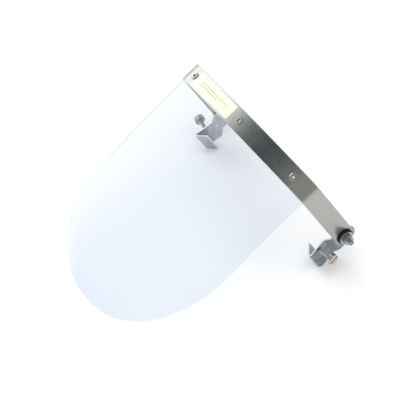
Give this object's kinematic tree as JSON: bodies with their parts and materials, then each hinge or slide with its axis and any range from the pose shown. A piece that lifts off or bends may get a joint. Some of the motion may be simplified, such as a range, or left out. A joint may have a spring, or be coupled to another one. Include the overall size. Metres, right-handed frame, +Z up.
{
  "type": "face shield",
  "caption": "Helmet-mounted face shield: bent clear sheet with a rounded chin, riveted inside a steel band, with a swivelling rim clamp and thumb screw at each end.",
  "frame": {"origin": "on the table, under the middle of the object's box, as it lies stored on its chin edge and both clamps", "axes": "+X towards the chin edge of the sheet, +Y to the wearer's left, +Z up from the table"},
  "size_m": [0.2504, 0.2408, 0.1392],
  "materials": {
    "stainless_steel": "brushed along the band",
    "zinc_plated_steel": "bright zinc plate, slightly blue",
    "nickel_plated_screw": "warm nickel plate, turned",
    "black_fibre": "matt",
    "clear_sheet": "clear and glossy",
    "paper_label": "pale yellow film, blank"
  },
  "bodies": {
    "shield": {"head_band": "stainless_steel", "visor_sheet": "clear_sheet", "front_label": "paper_label", "right_rivet": "stainless_steel", "right_rivet_washer": "stainless_steel", "centre_rivet": "stainless_steel", "centre_rivet_washer": "stainless_steel", "left_rivet": "stainless_steel", "left_rivet_washer": "stainless_steel", "left_pivot_bolt": "zinc_plated_steel", "left_friction_washer": "black_fibre", "left_flat_washer": "zinc_plated_steel", "left_pivot_nut": "zinc_plated_steel", "right_pivot_bolt": "zinc_plated_steel", "right_friction_washer": "black_fibre", "right_flat_washer": "zinc_plated_steel", "right_pivot_nut": "zinc_plated_steel"},
    "left_rim_clamp": {"left_clamp": "zinc_plated_steel"},
    "left_screw": {"left_thumb_screw": "nickel_plated_screw"},
    "right_rim_clamp": {"right_clamp": "zinc_plated_steel"},
    "right_screw": {"right_thumb_screw": "nickel_plated_screw"}
  },
  "joints": [
    {"name": "left_swivel", "type": "hinge", "parent": "shield", "child": "left_rim_clamp", "pos_m": [-0.11185, 0.10475, 0.03063], "axis": [0, 1, 0], "range_deg": [-35, 95]},
    {"name": "right_swivel", "type": "hinge", "parent": "shield", "child": "right_rim_clamp", "pos_m": [-0.11185, -0.10475, 0.03063], "axis": [0, 1, 0], "range_deg": [-35, 95]},
    {"name": "left_screw_travel", "type": "slide", "parent": "left_rim_clamp", "child": "left_screw", "axis": [0.1483, -0.9864, -0.0709], "range_m": [-0.0015, 0.0065]},
    {"name": "right_screw_travel", "type": "slide", "parent": "right_rim_clamp", "child": "right_screw", "axis": [0.1483, 0.9864, -0.0709], "range_m": [-0.0015, 0.0065]}
  ]
}
